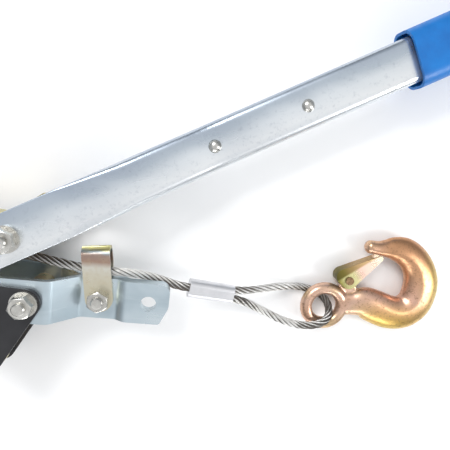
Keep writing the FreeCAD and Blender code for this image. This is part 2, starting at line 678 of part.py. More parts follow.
TAIL = [(-131, 30.0, 0), (-106, 28.1, 0), (-82, 24.9, 0), (-62, 21.4, 0.1), (-44, 18.8, 0),
        (-25, 18.2, -0.3), (-13, 17.9, -2.4), (-1, 15.6, -4.9), (9, 12.8, -6.2)]
LOOP = [(86, 9.6, -18.2), (98.5, 10.4, -23.4), (112.9, 9.6, -30.6), (126.9, 7.6, -31.2),
        (135.5, 4.0, -31.2), (140.2, -0.2, -27.0), (141.0, -4.8, -22.2), (139.5, -9.0, -17.4),
        (135.2, -12.6, -14.3), (128.4, -15.6, -13.9), (116.0, -17.5, -15.4), (100.0, -14.0, -16.4),
        (86.0, -8.2, -16.2)]
tail_route = TAIL + [tuple(FERRULE_START - axis * 8), tuple(FERRULE_START)]
loop_route = ([tuple(upper_start), tuple(upper_start + axis * 10.5)] + LOOP
              + [tuple(lower_end + axis * 10.5), tuple(lower_end)])
feature("rope_tail", rope_tube(tail_route))
feature("rope_loop", rope_tube(loop_route))


def ferrule():
    """An oval sleeve pressed round both legs of the rope's loop."""
    half = size("ferrule_width") / 2
    flat = size("ferrule_thick") / 2
    length = (FERRULE_END - FERRULE_START).Length
    sleeve = rounded_box(0, length, half, flat, flat - 0.05)
    across = beside
    upward = axis.cross(across)
    place = FreeCAD.Matrix(axis.x, across.x, upward.x, FERRULE_START.x, axis.y, across.y, upward.y,
                           FERRULE_START.y, axis.z, across.z, upward.z, FERRULE_START.z, 0, 0, 0, 1)
    return sleeve.transformed(place)


feature("rope_ferrule", ferrule())


# Hooks: forged, with an eye, a bowl and a sprung latch ----------------------------------------

SPINE = [  # x, y from the eye's middle, half width in the hook's plane, half thickness
    (13, 2.2, 9.5, 4.6), (22.5, 4.0, 9.9, 6.4), (32.5, 5.4, 12.8, 8.2), (43.5, 2.2, 13.8, 9.2),
    (53, -0.7, 13.9, 9.8), (61, -1.2, 13.9, 10.0), (69, 1.4, 14.3, 10.0), (75, 8.0, 14.6, 10.0),
    (77.3, 17, 14.5, 10.0), (76.9, 26.8, 14.1, 10.0), (73, 37, 12.8, 9.6), (65.8, 45.6, 11.8, 9.0),
    (57.2, 50.6, 11.0, 8.4), (48.8, 52.0, 9.4, 7.4), (41.9, 51.4, 7.2, 6.2), (36, 51.0, 5.7, 5.5),
    (29.8, 51.4, 5.2, 5.2)]
PIVOT = (15.4, 23.4)
HEEL = (10.5, 26.4)
LATCH_TIP = (37.1, 43.3)
CHEEK_INNER = 3.0


def hook():
    """The forging, in its own plane with its eye's middle at the origin."""
    eye_r, wire_r = size("eye_r"), size("eye_wire_r")
    travelled = [0]
    for (x0, y0, _, _), (x1, y1, _, _) in zip(SPINE, SPINE[1:]):
        travelled.append(travelled[-1] + math.hypot(x1 - x0, y1 - y0))
    middle, breadth = Part.BSplineCurve(), Part.BSplineCurve()
    middle.interpolate(Points=[V(x, y, 0) for x, y, _, _ in SPINE], Parameters=travelled)
    breadth.interpolate(Points=[V(wide, thick, at) for (_, _, wide, thick), at in zip(SPINE, travelled)],
                        Parameters=travelled)
    stations = 26
    sections = []
    for i in range(stations + 1):
        at = travelled[-1] * i / stations
        centre, spread = middle.value(at), breadth.value(at)
        across = UP.cross(middle.tangent(at)[0])
        ellipse = Part.Ellipse(centre + across * max(spread.x, spread.y + 0.001), centre + UP * spread.y,
                               centre)
        sections.append(Part.Wire(ellipse.toShape()))
    ahead = middle.tangent(travelled[-1])[0]
    knob_r = SPINE[-1][2] + 0.3
    for degrees in (20, 40, 58, 74, 86):
        a = math.radians(degrees)
        around = centre + ahead * knob_r * math.sin(a)
        reach = knob_r * math.cos(a)
        disc = Part.Ellipse(around + UP.cross(ahead) * (reach + 0.001), around + UP * reach, around)
        sections.append(Part.Wire(disc.toShape()))
    body = Part.makeLoft(sections, True, False)
    ring = Part.makeTorus(eye_r, wire_r)
    inside = rod(eye_r, -20, 20, 0, 0)
    body = body.cut(inside).fuse(ring)
    lug_half = 1.3
    lug = lobed_prism([(PIVOT[0] - 1.5, PIVOT[1] - 14, 5), (PIVOT[0] + 7, PIVOT[1] - 14, 5),
                       (PIVOT[0], PIVOT[1], 4.6)], -lug_half, lug_half)
    body = body.fuse(lug)
    saddle = rod(7.4, lug_half, 12, PIVOT[0], PIVOT[1])
    body = body.cut(saddle).cut(saddle.mirror(V(), UP))
    body = body.cut(rod(size("latch_pin_r"), -15, 15, PIVOT[0], PIVOT[1]))
    return body


def latch():
    """A latch folded from sheet: two cheeks on the pin and a back that closes the hook's mouth."""
    sheet_t, heel_r, tip_r = size("latch_sheet"), 6.0, 2.2
    outer = CHEEK_INNER + sheet_t
    shape = None
    for side in (1, -1):
        low, high = sorted((side * CHEEK_INNER, side * outer))
        cheek = lobed_prism([(*PIVOT, 6.8), (*LATCH_TIP, tip_r), (*HEEL, heel_r)], low, high)
        shape = cheek if shape is None else shape.fuse(cheek)
    heel, tip = V(*HEEL, 0), V(*LATCH_TIP, 0)
    along = tip - heel
    sine = (heel_r - tip_r) / along.Length
    along.normalize()
    normal = along * sine + UP.cross(along) * math.sqrt(1 - sine * sine)
    edge = normal.cross(UP)
    near = heel + normal * heel_r
    far = tip + normal * tip_r - edge * 4
    back = polygon_prism([(p.x, p.y) for p in (near, near - normal * sheet_t, far - normal * sheet_t, far)],
                         -outer, outer)
    wrap = rod(heel_r, -outer, outer, *HEEL).cut(rod(heel_r - sheet_t, -outer, outer, *HEEL))
    side_face = heel - edge * heel_r * 2
    keep_in = [near + normal * 2, near - edge * 12 + normal * 2, side_face - edge * 6 - normal * 2,
               heel - normal * 2]
    wrap = wrap.common(polygon_prism([(p.x, p.y) for p in keep_in], -outer, outer))
    shape = shape.fuse([back, wrap])
    return shape.removeSplitter().cut(rod(size("latch_pin_r") + size("running_clear"), -15, 15, *PIVOT))


def latch_pin():
    """A plain pin with a low round head outside each cheek."""
    cheek = CHEEK_INNER + size("latch_sheet")
    shape = rod(size("latch_pin_r"), -cheek - 1.3, cheek + 1.3, *PIVOT)
    for side in (1, -1):
        low, high = sorted((side * (cheek + 0.3), side * (cheek + 1.3)))
        shape = shape.fuse(rod(size("latch_pin_r") + 1, low, high, *PIVOT))
    return shape


def latch_spring():
    """A torsion spring round the pin, beside the lug, that presses the latch's back outwards."""
    return placed(coil_spring(3.2, 0.5, 0.769, 3, 9), PIVOT[0], PIVOT[1], 2.0, 30)


HOOK_PIECES = (("hook", hook), ("latch", latch), ("latch_pin", latch_pin), ("latch_spring", latch_spring))
EYE = V(136.2, -2.1, -22.9)
for name, build in HOOK_PIECES:
    shape = build()
    shape.translate(EYE)
    feature("rope_" + name, shape)
    shape = build()
    shape.rotate(V(), UP, 180)
    shape.translate(V(size("rear_bolt_x"), 0, 0))
    feature("rear_" + name, shape)

doc.recompute()
faults = []
for obj in doc.Objects:
    if "Invalid" in obj.State or "Error" in obj.State:
        faults.append("%s is %s" % (obj.Label, obj.State))
for obj in parts:
    if obj.Shape.isNull() or not obj.Shape.isValid() or not obj.Shape.Solids:
        faults.append("%s has no valid solid" % obj.Label)
if faults:
    raise SystemExit("\n".join(faults))
os.makedirs("parts", exist_ok=True)
for obj in parts:
    obj.Shape.exportStep(os.path.join("parts", obj.Label + ".step"))
print(len(parts), "sub-parts written")
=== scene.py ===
import math

import bmesh
import bpy
from mathutils import Matrix, Vector


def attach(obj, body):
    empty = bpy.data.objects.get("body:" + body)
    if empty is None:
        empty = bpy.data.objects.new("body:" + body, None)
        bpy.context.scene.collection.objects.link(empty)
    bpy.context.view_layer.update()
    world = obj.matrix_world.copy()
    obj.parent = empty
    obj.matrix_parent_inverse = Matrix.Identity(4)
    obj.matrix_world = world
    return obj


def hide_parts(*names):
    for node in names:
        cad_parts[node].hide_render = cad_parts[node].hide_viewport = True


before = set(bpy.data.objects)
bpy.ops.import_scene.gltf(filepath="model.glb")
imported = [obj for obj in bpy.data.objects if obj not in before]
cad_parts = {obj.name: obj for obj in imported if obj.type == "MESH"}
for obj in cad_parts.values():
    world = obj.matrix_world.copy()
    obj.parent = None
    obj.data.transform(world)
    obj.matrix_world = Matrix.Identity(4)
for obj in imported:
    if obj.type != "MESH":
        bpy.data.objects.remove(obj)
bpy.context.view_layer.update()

# --- Camera, floor and light -------------------------------------------------------------------
# The puller lies on its side on a pale sheet and is seen from close above, so the near end of the
# lever looms. One soft box stands over the lever, and weaker ones light the hook and the near edge.

lens = bpy.data.cameras.new("studio_camera")
lens.lens = 31.76
lens.sensor_width = 36
lens.clip_start = 0.01
lens.clip_end = 20
camera = bpy.data.objects.new("studio_camera", lens)
right, up, back = (0.9871, 0.1265, 0.0982), (-0.1048, 0.9739, -0.2013), (-0.1211, 0.1884, 0.9746)
camera_place = (0.01335, 0.11005, 0.26549)
camera.matrix_world = (Matrix.Translation(camera_place)
                       @ Matrix((right, up, back)).transposed().to_4x4())
bpy.context.scene.collection.objects.link(camera)
bpy.context.scene.camera = camera
bpy.context.scene.view_settings.view_transform = "Standard"


def new_material(name):
    """A node material with its shader and the object's own coordinates ready to use."""
    material = bpy.data.materials.new(name)
    material.use_nodes = True
    nodes, links = material.node_tree.nodes, material.node_tree.links
    shader = nodes["Principled BSDF"]
    place = nodes.new("ShaderNodeTexCoord")
    return material, nodes, links, shader, place.outputs["Object"]


def noise(nodes, links, where, scale, detail=4.0, rough=0.55, stretch=None, turn=0.0):
    """Cloudy variation at so many cycles to the metre, drawn out along an axis if asked."""
    if stretch:
        mapping = nodes.new("ShaderNodeMapping")
        mapping.inputs["Scale"].default_value = stretch
        mapping.inputs["Rotation"].default_value = (0, 0, math.radians(turn))
        links.new(where, mapping.inputs["Vector"])
        where = mapping.outputs["Vector"]
    cloud = nodes.new("ShaderNodeTexNoise")
    cloud.inputs["Scale"].default_value = scale
    cloud.inputs["Detail"].default_value = detail
    cloud.inputs["Roughness"].default_value = rough
    links.new(where, cloud.inputs["Vector"])
    return cloud.outputs["Fac"]


def ramp(nodes, links, value, stops):
    """Colours along a value, as (position, (r, g, b))."""
    band = nodes.new("ShaderNodeValToRGB")
    while len(band.color_ramp.elements) < len(stops):
        band.color_ramp.elements.new(0.5)
    for element, (position, colour) in zip(band.color_ramp.elements, stops):
        element.position = position
        element.color = (*colour, 1)
    links.new(value, band.inputs["Fac"])
    return band.outputs["Color"]


def levels(nodes, links, value, low, high, out_low, out_high):
    """Stretch a value from one range to another, held at the ends."""
    stretch = nodes.new("ShaderNodeMapRange")
    limits = {"From Min": low, "From Max": high, "To Min": out_low, "To Max": out_high}
    for socket, number in limits.items():
        stretch.inputs[socket].default_value = number
    links.new(value, stretch.inputs["Value"])
    return stretch.outputs["Result"]


def mix(nodes, links, factor, one, two, kind="MIX"):
    """Blend two colours by a factor that varies over the surface."""
    blend = nodes.new("ShaderNodeMix")
    blend.data_type = "RGBA"
    blend.blend_type = kind
    for socket, source in ((blend.inputs[0], factor), (blend.inputs[6], one), (blend.inputs[7], two)):
        if isinstance(source, (int, float)):
            socket.default_value = source
        elif isinstance(source, tuple):
            socket.default_value = (*source, 1)
        else:
            links.new(source, socket)
    return blend.outputs[2]


def bumps(nodes, links, shader, heights, distance):
    """Fine relief from one or more (value, strength) pairs, laid one over another."""
    last = None
    for value, strength in heights:
        bump = nodes.new("ShaderNodeBump")
        bump.inputs["Strength"].default_value = strength
        bump.inputs["Distance"].default_value = distance
        links.new(value, bump.inputs["Height"])
        if last:
            links.new(last, bump.inputs["Normal"])
        last = bump.outputs["Normal"]
    links.new(last, shader.inputs["Normal"])


paper, nodes, links, shader, where = new_material("backdrop_paper")
links.new(ramp(nodes, links, noise(nodes, links, where, 3.0),
               [(0, (0.93, 0.93, 0.93)), (1, (0.96, 0.96, 0.96))]), shader.inputs["Base Color"])
shader.inputs["Roughness"].default_value = 0.9
bumps(nodes, links, shader, [(noise(nodes, links, where, 900), 0.05)], 0.0002)
floor_z, half_sheet = -0.0345, 2.5
corners = ((-1, -1), (1, -1), (1, 1), (-1, 1))
sheet_mesh = bpy.data.meshes.new("backdrop")
sheet_mesh.from_pydata([(x * half_sheet, y * half_sheet, floor_z) for x, y in corners], [], [(0, 1, 2, 3)])
sheet_mesh.materials.append(paper)
backdrop = bpy.data.objects.new("backdrop", sheet_mesh)
bpy.context.scene.collection.objects.link(backdrop)

for name, place, aim, width, length, watts in (
        ("lever_side_box", (-0.55, 0.85, 0.95), (0.0, 0.0, 0.0), 0.55, 0.55, 12),
        ("hook_side_box", (0.95, -0.10, 0.60), (0.10, 0.03, 0.0), 0.30, 0.6, 5),
        ("near_side_box", (0.15, -0.85, 0.35), (0.0, 0.0, 0.0), 0.9, 0.20, 3)):
    light = bpy.data.lights.new(name, "AREA")
    light.shape = "RECTANGLE"
    light.size, light.size_y = width, length
    light.energy = watts
    lamp = bpy.data.objects.new(name, light)
    lamp.location = place
    lamp.rotation_euler = (Vector(aim) - Vector(place)).to_track_quat("-Z", "Y").to_euler()
    bpy.context.scene.collection.objects.link(lamp)

world = bpy.data.worlds.new("studio")
world.use_nodes = True
bpy.context.scene.world = world
nodes, links = world.node_tree.nodes, world.node_tree.links
heaven = nodes.new("ShaderNodeTexCoord")
split = nodes.new("ShaderNodeSeparateXYZ")
links.new(heaven.outputs["Generated"], split.inputs["Vector"])
links.new(ramp(nodes, links, split.outputs["Z"],
               [(0.0, (0.26, 0.27, 0.29)), (0.34, (0.30, 0.32, 0.34)), (0.66, (0.66, 0.68, 0.71)),
                (0.84, (1.0, 1.0, 1.0)), (0.93, (0.93, 0.94, 0.96)), (1.0, (0.74, 0.76, 0.80))]),
          nodes["Background"].inputs["Color"])
nodes["Background"].inputs["Strength"].default_value = 0.9


# --- Wire rope ---------------------------------------------------------------------------------
# Galvanised rope of six strands about a core, each strand laid up from wires the other way round.
# It leaves the drum, runs through the guide clip and the sleeve, and turns about the hook's eye.

rope_thick, rope_length = 0.0062, 0.406
drum_exit = (-141, 30.75, 0)
tail_points = [(-131, 30.0, 0), (-106, 28.1, 0), (-82, 24.9, 0), (-62, 21.4, 0.1), (-44, 18.8, 0),
               (-25, 18.2, -0.3), (-13, 17.9, -2.4), (-1, 15.6, -4.9), (9, 12.8, -6.2), (19.2, 9.6, -6.9)]
sleeve_start, sleeve_end = Vector((27, 8.6, -8)), Vector((60.2, 4.6, -12.6))
sleeve_line = (sleeve_end - sleeve_start).normalized()
half_leg_gap = 3.25
beyond_sleeve, dead_end_in, lead_in, pass_in = 7, 6, 6, 9  # distances along the sleeve's line from its ends
sleeve_side = Vector((0, 0, 1)).cross(sleeve_line).normalized() * half_leg_gap
loop_points = [(86, 9.6, -18.2), (98.5, 10.4, -23.4), (112.9, 9.6, -30.6), (126.9, 7.6, -31.2),
               (135.5, 4.0, -31.2), (140.2, -0.2, -27.0), (141.0, -4.8, -22.2), (139.5, -9.0, -17.4),
               (135.2, -12.6, -14.3), (128.4, -15.6, -13.9), (116.0, -17.5, -15.4), (100.0, -14.0, -16.4),
               (86.0, -8.2, -16.2)]
live_mouth, dead_mouth = sleeve_end + sleeve_side, sleeve_end - sleeve_side
rope_route = [drum_exit] + tail_points
rope_route += [tuple(sleeve_start + sleeve_line * lead_in), tuple(live_mouth - sleeve_line * pass_in),
               tuple(live_mouth + sleeve_line * beyond_sleeve)]
rope_route += loop_points
rope_route += [tuple(dead_mouth + sleeve_line * beyond_sleeve), tuple(dead_mouth - sleeve_line * dead_end_in)]


def rope_line(name, route):
    """The rope's smooth middle line through a route in millimetres, read off as points in metres."""
    curve = bpy.data.curves.new(name, "CURVE")
    curve.dimensions = "3D"
    spline = curve.splines.new("NURBS")
    spline.points.add(len(route) - 1)
    for point, (x, y, z) in zip(spline.points, route):
        point.co = (x / 1000, y / 1000, z / 1000, 1)
    spline.order_u = 3
    spline.use_endpoint_u = True
    spline.resolution_u = 10
    holder = bpy.data.objects.new(name, curve)
    bpy.context.scene.collection.objects.link(holder)
    bpy.context.view_layer.update()
    mesh = bpy.data.meshes.new_from_object(holder.evaluated_get(bpy.context.evaluated_depsgraph_get()))
    points = [v.co.copy() for v in mesh.vertices]
    bpy.data.objects.remove(holder)
    return points


def kept_value(tree, geometry, name, value, kind="FLOAT"):
    """Store a value on every point under a name that the material can read."""
    store = tree.nodes.new("GeometryNodeStoreNamedAttribute")
    store.data_type = kind
    store.domain = "POINT"
    store.inputs["Name"].default_value = name
    tree.links.new(geometry, store.inputs["Geometry"])
    tree.links.new(value, [i for i in store.inputs if i.name == "Value" and i.enabled][0])
    return store.outputs["Geometry"]


def facing_out(tree, direction):
    """How squarely a direction faces out of the rope, from the strand's own outward arrow."""
    arrow = tree.nodes.new("GeometryNodeInputNamedAttribute")
    arrow.data_type = "FLOAT_VECTOR"
    arrow.inputs["Name"].default_value = "outward"
    dot = tree.nodes.new("ShaderNodeVectorMath")
    dot.operation = "DOT_PRODUCT"
    tree.links.new(direction, dot.inputs[0])
    tree.links.new(arrow.outputs["Attribute"], dot.inputs[1])
    return dot.outputs["Value"]


def laid_wire(tree, path, count, offset, lay):
    """Wind copies of a path round it as helices: strands in a rope, or wires in a strand."""
    nodes, links = tree.nodes, tree.links
    copies = nodes.new("GeometryNodeDuplicateElements")
    copies.domain = "SPLINE"
    links.new(path, copies.inputs["Geometry"])
    links.new(count, copies.inputs["Amount"])
    along = nodes.new("GeometryNodeSplineParameter")
    turns = nodes.new("ShaderNodeMath")
    turns.operation = "DIVIDE"
    links.new(along.outputs["Length"], turns.inputs[0])
    links.new(lay, turns.inputs[1])
    share = nodes.new("ShaderNodeMath")
    share.operation = "DIVIDE"
    links.new(copies.outputs["Duplicate Index"], share.inputs[0])
    links.new(count, share.inputs[1])
    both = nodes.new("ShaderNodeMath")
    both.operation = "ADD"
    links.new(turns.outputs[0], both.inputs[0])
    links.new(share.outputs[0], both.inputs[1])
    angle = nodes.new("ShaderNodeMath")
    angle.operation = "MULTIPLY"
    angle.inputs[1].default_value = 2 * math.pi
    links.new(both.outputs[0], angle.inputs[0])
    normal = nodes.new("GeometryNodeInputNormal")
    tangent = nodes.new("GeometryNodeInputTangent")
    turned = nodes.new("ShaderNodeVectorRotate")
    turned.rotation_type = "AXIS_ANGLE"
    links.new(normal.outputs[0], turned.inputs["Vector"])
    links.new(tangent.outputs[0], turned.inputs["Axis"])
    links.new(angle.outputs[0], turned.inputs["Angle"])
    scale = nodes.new("ShaderNodeVectorMath")
    scale.operation = "SCALE"
    links.new(turned.outputs[0], scale.inputs[0])
    links.new(offset, scale.inputs["Scale"])
    move = nodes.new("GeometryNodeSetPosition")
    links.new(copies.outputs["Geometry"], move.inputs["Geometry"])
    links.new(scale.outputs[0], move.inputs["Offset"])
    return move.outputs["Geometry"], turned.outputs[0]


# Radii as shares of the rope's thickness. Where the wires aren't drawn, a strand is one bare bar.
strand_ring, core, strand_core, wire, bare_strand = 0.34, 0.2, 0.118, 0.042, 0.16


def rope_tree(name, material, wires):
    """Lays up a rope along a path: strands from its thickness and lay, and their wires if asked."""
    tree = bpy.data.node_groups.new(name, "GeometryNodeTree")
    tree.interface.new_socket("Geometry", in_out="INPUT", socket_type="NodeSocketGeometry")
    for title, default in (("Thickness", rope_thick), ("Strands", 6), ("Strand lay", 0.036), ("Wires", 9),
                           ("Wire lay", -0.016), ("Step", 0.0011)):
        kind = "NodeSocketInt" if isinstance(default, int) else "NodeSocketFloat"
        socket = tree.interface.new_socket(title, in_out="INPUT", socket_type=kind)
        socket.default_value = default
    tree.interface.new_socket("Geometry", in_out="OUTPUT", socket_type="NodeSocketGeometry")
    nodes, links = tree.nodes, tree.links
    given = nodes.new("NodeGroupInput").outputs

    def share_of_thickness(factor):
        times = nodes.new("ShaderNodeMath")
        times.operation = "MULTIPLY"
        times.inputs[1].default_value = factor
        links.new(given["Thickness"], times.inputs[0])
        return times.outputs[0]

    def skin(path, radius, sides):
        ring = nodes.new("GeometryNodeCurvePrimitiveCircle")
        ring.inputs["Resolution"].default_value = sides
        links.new(radius, ring.inputs["Radius"])
        tube = nodes.new("GeometryNodeCurveToMesh")
        tube.inputs["Fill Caps"].default_value = True
        links.new(path, tube.inputs["Curve"])
        links.new(ring.outputs["Curve"], tube.inputs["Profile Curve"])
        return tube.outputs["Mesh"]

    as_curve = nodes.new("GeometryNodeMeshToCurve")
    links.new(given["Geometry"], as_curve.inputs["Mesh"])
    even = nodes.new("GeometryNodeResampleCurve")
    even.mode = "LENGTH"
    links.new(as_curve.outputs["Curve"], even.inputs["Curve"])
    links.new(given["Step"], even.inputs["Length"])
    middle = even.outputs["Curve"]
    strands, outward = laid_wire(tree, middle, given["Strands"], share_of_thickness(strand_ring),
                                 given["Strand lay"])
    strands = kept_value(tree, strands, "outward", outward, "FLOAT_VECTOR")
    join = nodes.new("GeometryNodeJoinGeometry")
    links.new(skin(middle, share_of_thickness(core), 6), join.inputs["Geometry"])
    if wires:
        links.new(skin(strands, share_of_thickness(strand_core), 6), join.inputs["Geometry"])
        fine, round_strand = laid_wire(tree, strands, given["Wires"], share_of_thickness(strand_core),
                                       given["Wire lay"])
        # Painted shade: each wire keeps how squarely it faces out of its strand, so the material can darken
        # it where it turns into the grooves.
        fine = kept_value(tree, fine, "painted_groove_shade", facing_out(tree, round_strand))
        links.new(skin(fine, share_of_thickness(wire), 4), join.inputs["Geometry"])
    else:
        face = nodes.new("GeometryNodeInputNormal")
        # Painted shade: each bare strand keeps how squarely its surface faces out of the rope, so the
        # material can darken the grooves between strands.
        bare = skin(strands, share_of_thickness(bare_strand), 10)
        bare = kept_value(tree, bare, "painted_groove_shade", facing_out(tree, face.outputs[0]))
        links.new(bare, join.inputs["Geometry"])
    smooth = nodes.new("GeometryNodeSetShadeSmooth")
    links.new(join.outputs["Geometry"], smooth.inputs["Geometry"])
    real = nodes.new("GeometryNodeRealizeInstances")
    links.new(smooth.outputs["Geometry"], real.inputs["Geometry"])
    paint = nodes.new("GeometryNodeSetMaterial")
    paint.inputs["Material"].default_value = material
    links.new(real.outputs["Geometry"], paint.inputs["Geometry"])
    links.new(paint.outputs["Geometry"], nodes.new("NodeGroupOutput").inputs[0])
    return tree


def grown(name, points, tree, **sizes):
    """Runs a tree on a line of points and keeps the result as a plain mesh."""
    seed = bpy.data.meshes.new(name + "_line")
    seed.from_pydata(points, [(i, i + 1) for i in range(len(points) - 1)], [])
    holder = bpy.data.objects.new(name + "_line", seed)
    bpy.context.scene.collection.objects.link(holder)
    modifier = holder.modifiers.new("grow", "NODES")
    modifier.node_group = tree
    for item in tree.interface.items_tree:
        title = item.name.replace(" ", "_").lower()
        if item.in_out == "INPUT" and title in sizes:
            modifier[item.identifier] = sizes[title]
    bpy.context.view_layer.update()
    mesh = bpy.data.meshes.new_from_object(holder.evaluated_get(bpy.context.evaluated_depsgraph_get()))
    mesh.name = name
    piece = bpy.data.objects.new(name, mesh)
    bpy.context.scene.collection.objects.link(piece)
    holder.modifiers.clear()
    bpy.data.objects.remove(holder)
    return piece


galvanised, nodes, links, shader, where = new_material("galvanised_wire")
dull = noise(nodes, links, where, 260, 5)
tone = ramp(nodes, links, dull,
            [(0.25, (0.66, 0.64, 0.61)), (0.5, (0.82, 0.81, 0.785)), (0.72, (0.92, 0.91, 0.895))])
# Painted shade: wires and strands run to near black where they turn into the grooves between them, and keep
# their galvanised tone where they face out.
painted_groove_shade = nodes.new("ShaderNodeAttribute")
painted_groove_shade.attribute_name = "painted_groove_shade"
lit = levels(nodes, links, painted_groove_shade.outputs["Fac"], -0.45, 0.42, 0, 1)
links.new(mix(nodes, links, lit, (0.13, 0.115, 0.10), tone), shader.inputs["Base Color"])
shader.inputs["Metallic"].default_value = 0.75
grease = noise(nodes, links, where, 900)
links.new(levels(nodes, links, grease, 0.3, 0.7, 0.30, 0.46), shader.inputs["Roughness"])
bumps(nodes, links, shader, [(noise(nodes, links, where, 2500, 3), 0.25)], 0.00008)

tail_line = rope_line("rope_line", rope_route)
rope = grown("wire_rope", tail_line, rope_tree("lay_up_rope", galvanised, True))
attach(rope, "frame")
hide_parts("rope_tail", "rope_loop")

# --- Rope on the drum --------------------------------------------------------------------------
# The rest of the rope lies on the barrel in three layers of three turns, side by side between the
# gears. Each turn crosses to the next lane over the same fifth of the drum.

drum_x, barrel_radius = -156.0, 16.0
lane_gap, turn_points, first_angle = 6.6, 12, 96
crossing_points = 2.5
pressed_in = 0.05
shrink = 0.9665  # the smooth line runs at this share of its control points' radius
wound = [(-143, 30.9, 0), (-150, 31.6, 0)]
for layer in (2, 1, 0):
    lanes = {2: [0, lane_gap, 0], 1: [-lane_gap, 0, lane_gap], 0: [lane_gap, 0, -lane_gap]}[layer]
    radius = barrel_radius + (layer + 0.5) * rope_thick * 1000 - pressed_in
    for turn, lane in enumerate(lanes):
        beyond = lanes[turn + 1] if turn < 2 else lane
        for step in range(turn_points):
            crossing = max(0.0, (step - turn_points + crossing_points) / crossing_points)
            inward = rope_thick * 1000 * crossing if turn == 2 and layer else 0
            a = math.radians(first_angle + 360 * step / turn_points)
            r = (radius - inward) / shrink
            wound.append((drum_x + r * math.cos(a), r * math.sin(a), lane + (beyond - lane) * crossing))
winding_line = rope_line("winding_line", wound)
winding = grown("wound_rope", winding_line, rope_tree("lay_up_winding", galvanised, False), step=0.0022)
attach(winding, "drum")
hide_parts("rope_winding")

# --- Side plates -------------------------------------------------------------------------------
# Two strips of 4 mm steel, bent in towards each other and stepped at the nose, then bright zinc
# plated, which leaves a bluish sheen with cloudy patches and faint streaks along the bends.

zinc, nodes, links, shader, where = new_material("bright_zinc_plate")
patch = noise(nodes, links, where, 26, 3, 0.5, (1, 1.6, 1))
streak = noise(nodes, links, where, 60, 4, 0.6, (0.35, 5, 1))
tone = ramp(nodes, links, patch,
            [(0.3, (0.42, 0.51, 0.56)), (0.5, (0.53, 0.62, 0.67)), (0.7, (0.62, 0.70, 0.74))])
links.new(mix(nodes, links, levels(nodes, links, streak, 0.55, 0.8, 0, 0.3), tone, (0.74, 0.80, 0.84)),
          shader.inputs["Base Color"])
shader.inputs["Metallic"].default_value = 0.88
links.new(levels(nodes, links, patch, 0.3, 0.7, 0.36, 0.24), shader.inputs["Roughness"])
bumps(nodes, links, shader, [(noise(nodes, links, where, 1400, 3), 0.12), (streak, 0.08)], 0.0001)


def dress(material, *names):
    """Give CAD nodes their finish."""
    for name in names:
        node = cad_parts[name]
        node.data.materials.clear()
        node.data.materials.append(material)


dress(zinc, "side_plate_near", "side_plate_far")

# --- Gussets -----------------------------------------------------------------------------------
# Flat steel triangles outside the plates that carry the holding pawl's bolt, painted satin black
# with a slight orange peel.

black, nodes, links, shader, where = new_material("satin_black_paint")
links.new(ramp(nodes, links, noise(nodes, links, where, 45),
               [(0.3, (0.010, 0.010, 0.012)), (0.75, (0.022, 0.022, 0.025))]), shader.inputs["Base Color"])
satin = noise(nodes, links, where, 90)
links.new(levels(nodes, links, satin, 0.3, 0.7, 0.36, 0.5), shader.inputs["Roughness"])
bumps(nodes, links, shader, [(noise(nodes, links, where, 700, 3), 0.22)], 0.00015)
dress(black, "gusset_near", "gusset_far")

# --- Bolts, nuts, washers and spacers ----------------------------------------------------------
# Bought-in hexagon hardware, bright zinc over machined steel, with a slightly creamy cast on the
# turned ends and fine scuffs on the flats.

hardware, nodes, links, shader, where = new_material("zinc_hardware")
cloud = noise(nodes, links, where, 120, 4)
links.new(ramp(nodes, links, cloud,
               [(0.3, (0.44, 0.43, 0.40)), (0.55, (0.62, 0.61, 0.575)), (0.75, (0.76, 0.75, 0.71))]),
          shader.inputs["Base Color"])
shader.inputs["Metallic"].default_value = 0.95
scuff = noise(nodes, links, where, 400)
links.new(levels(nodes, links, scuff, 0.3, 0.7, 0.2, 0.38), shader.inputs["Roughness"])
bumps(nodes, links, shader, [(noise(nodes, links, where, 1500, 3), 0.07)], 0.00006)
dress(hardware, "frame_bolts", "frame_nuts", "frame_washers", "clip_bolt", "clip_nut", "axle_bolt",
      "axle_nut", "axle_washer", "drive_pawl_bolt", "drive_pawl_nut", "drive_pawl_washer",
      "drive_pawl_spacers", "hold_pawl_spacers", "rear_bushing", "rope_anchor_screw", "handle_rivets")

# --- Guide clip, drum, gears and pawls ---------------------------------------------------------
# Steel with a yellow passivated zinc finish: a cream and olive ground that drifts to pink and to
# blue-green where the film is thicker. On the guide clip, a darker brown band near its upper edge is painted
# shade.

yellow, nodes, links, shader, where = new_material("yellow_zinc")
film = noise(nodes, links, where, 38, 3, 0.5)
fine = noise(nodes, links, where, 300, 4)
hue = ramp(nodes, links, film,
           [(0.28, (0.46, 0.47, 0.26)), (0.42, (0.60, 0.55, 0.28)), (0.52, (0.68, 0.50, 0.26)),
            (0.62, (0.62, 0.40, 0.30)), (0.74, (0.44, 0.48, 0.36))])
links.new(mix(nodes, links, levels(nodes, links, fine, 0.4, 0.75, 0, 0.3), hue, (0.72, 0.66, 0.46)),
          shader.inputs["Base Color"])
shader.inputs["Metallic"].default_value = 0.92
links.new(levels(nodes, links, fine, 0.3, 0.7, 0.24, 0.4), shader.inputs["Roughness"])
bumps(nodes, links, shader, [(noise(nodes, links, where, 1500, 3), 0.15)], 0.0001)
strap, nodes, links, shader, where = new_material("yellow_zinc_strap")
split = nodes.new("ShaderNodeSeparateXYZ")
links.new(where, split.inputs["Vector"])
